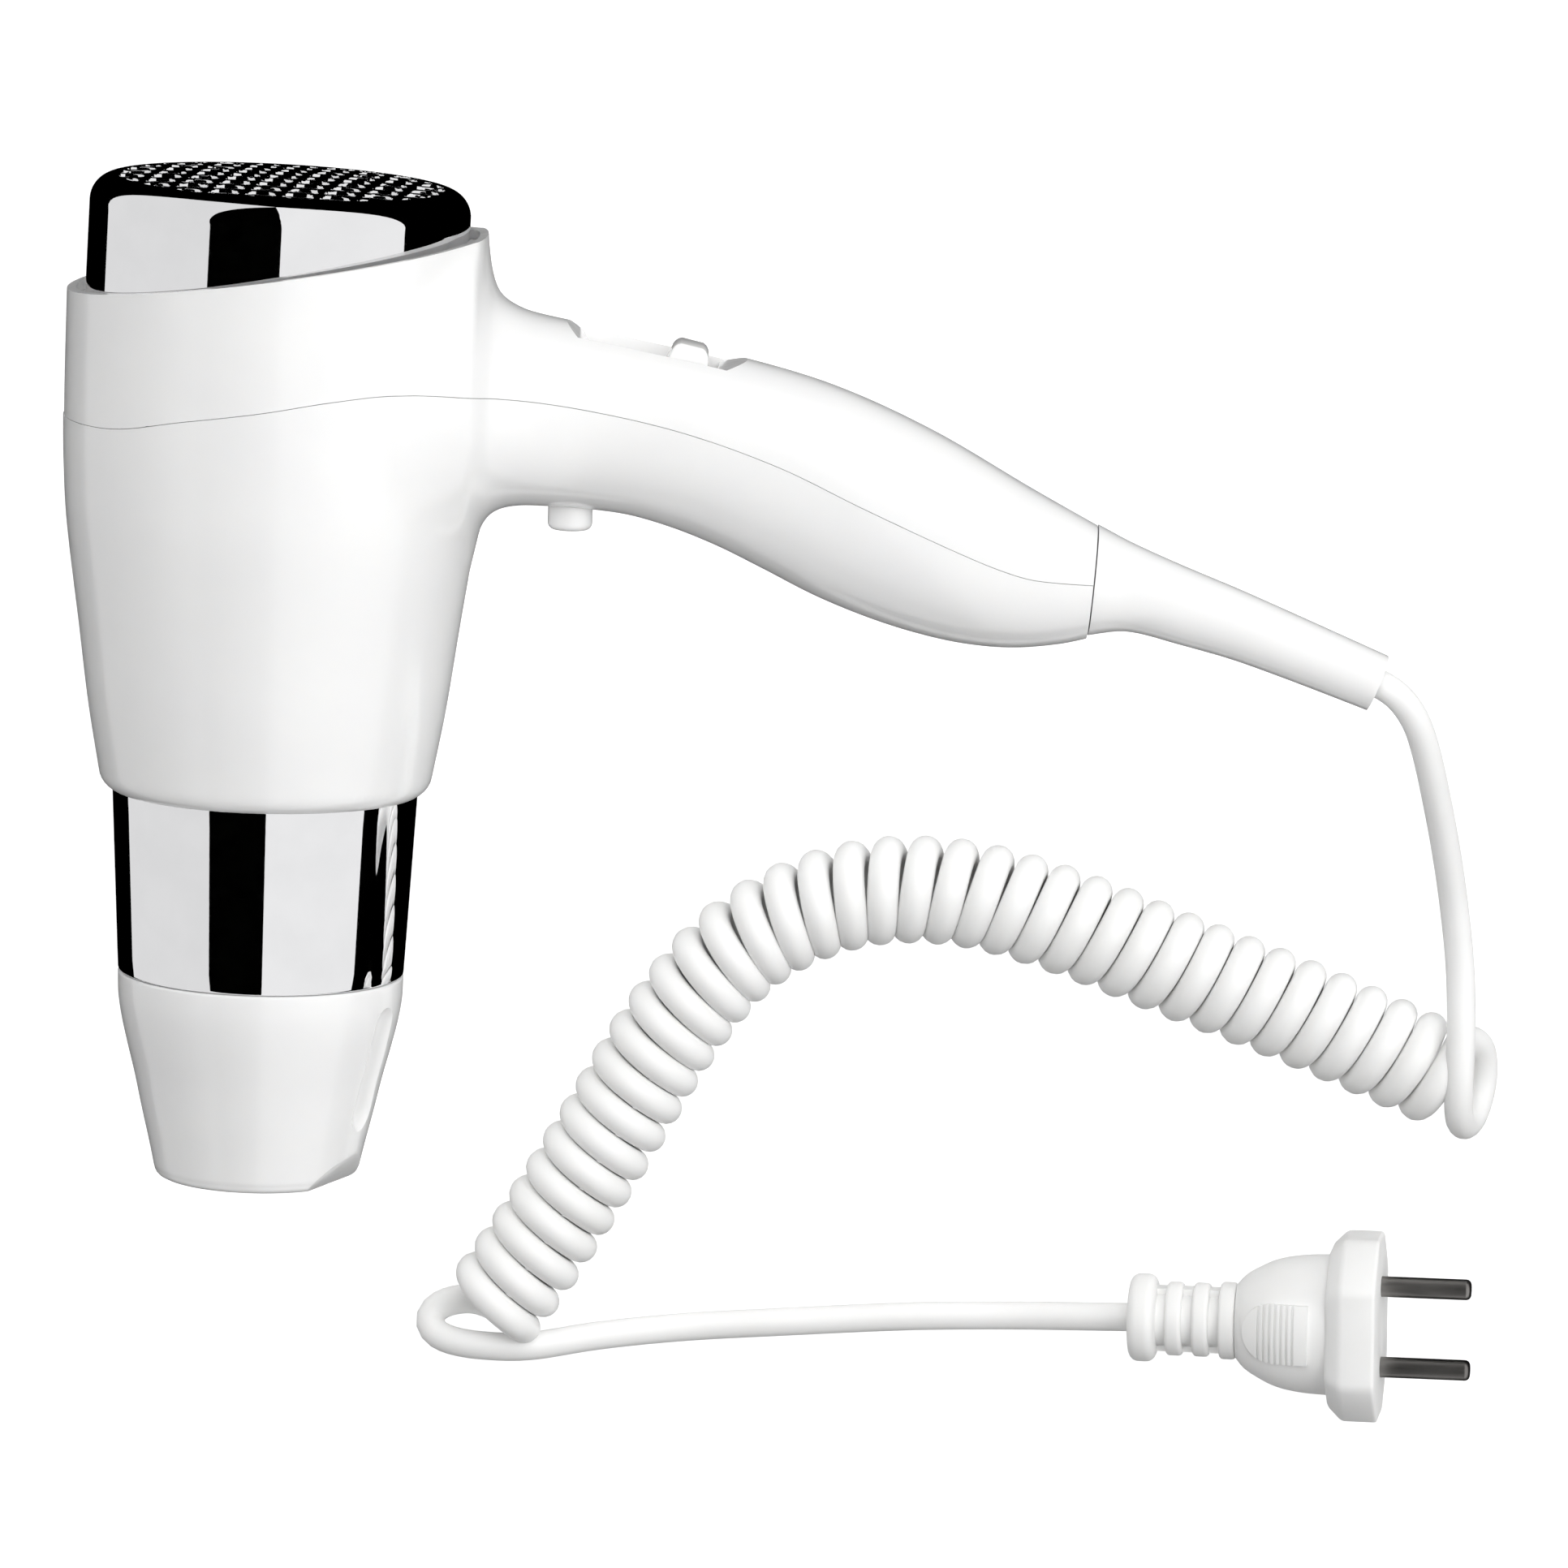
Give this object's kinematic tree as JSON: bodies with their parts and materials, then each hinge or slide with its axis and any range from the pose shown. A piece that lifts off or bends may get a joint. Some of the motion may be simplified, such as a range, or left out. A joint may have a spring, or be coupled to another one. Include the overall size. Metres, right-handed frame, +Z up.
{
  "type": "hair dryer",
  "caption": "Hand-held hair dryer with a round barrel, chrome intake cap and band, curved handle, slide switch, push button and a curly mains lead with a two-pin plug.",
  "frame": {"origin": "under the middle of the dryer's own box (cord and plug not counted), on the surface that it lies on", "axes": "+X from the barrel along the handle to the cord, +Y along the barrel towards the air intake, +Z up"},
  "size_m": [0.3329, 0.2837, 0.0944],
  "materials": {
    "gloss_white": "gloss white moulded housing plastic",
    "satin_white": "satin white moulded plastic of the plug and small parts",
    "cord_white": "satin white flexible cord sheath",
    "chrome": "mirror chrome plating",
    "steel": "plain steel",
    "pin_metal": "dark brushed metal of the plug pins",
    "black_plastic": "matt black plastic of the inner parts",
    "mica": "mica sheet",
    "heater_wire": "dull resistance wire",
    "circuit_board": "green circuit board",
    "gauze": "fine steel gauze"
  },
  "bodies": {
    "handset": {"rear_shell": "gloss_white", "front_shell": "gloss_white", "housing_screw_1": "steel", "housing_screw_2": "steel", "housing_screw_3": "steel", "intake_cap": "chrome", "dust_filter_frame": "black_plastic", "dust_filter_gauze": "gauze", "motor_can": "steel", "motor_end_cap": "black_plastic", "flow_straightener": "black_plastic", "heater_tube": "mica", "heater_board_flat": "mica", "heater_board_upright": "mica", "heating_wire": "heater_wire", "thermostat": "steel", "thermal_fuse": "steel", "chrome_band": "chrome", "outlet_grille": "black_plastic", "switch_plate": "satin_white", "slide_switch_body": "black_plastic", "button_spring": "steel", "micro_switch": "black_plastic", "circuit_board": "circuit_board", "capacitor": "black_plastic", "diode_pair": "black_plastic", "cord_sleeve": "gloss_white", "cord_clamp": "satin_white", "cord_lead": "cord_white", "cord_curl": "cord_white", "cord_tail": "cord_white", "plug_strain_relief": "satin_white", "plug_body": "satin_white", "plug_pin_1": "pin_metal", "plug_pin_2": "pin_metal"},
    "rotor": {"fan_impeller": "black_plastic", "motor_shaft": "steel"},
    "nozzle": {"nozzle": "gloss_white"},
    "slide_knob": {"slide_knob": "gloss_white"},
    "push_button": {"push_button": "gloss_white"}
  },
  "joints": [
    {"name": "fan_spin", "type": "hinge", "parent": "handset", "child": "rotor", "pos_m": [-0.10239, 0.07419, 0.0472], "axis": [0, 1, 0], "continuous": true},
    {"name": "nozzle_turn", "type": "hinge", "parent": "handset", "child": "nozzle", "pos_m": [-0.10239, -0.11431, 0.0472], "axis": [0, 1, 0], "continuous": true},
    {"name": "switch_slide", "type": "slide", "parent": "handset", "child": "slide_knob", "axis": [-0.9759, 0.2181, 0], "range_m": [0, 0.0174]},
    {"name": "button_press", "type": "slide", "parent": "handset", "child": "push_button", "axis": [0, 1, 0], "range_m": [0, 0.0022], "stiffness_N_per_m": 600, "springref_m": -0.001}
  ]
}
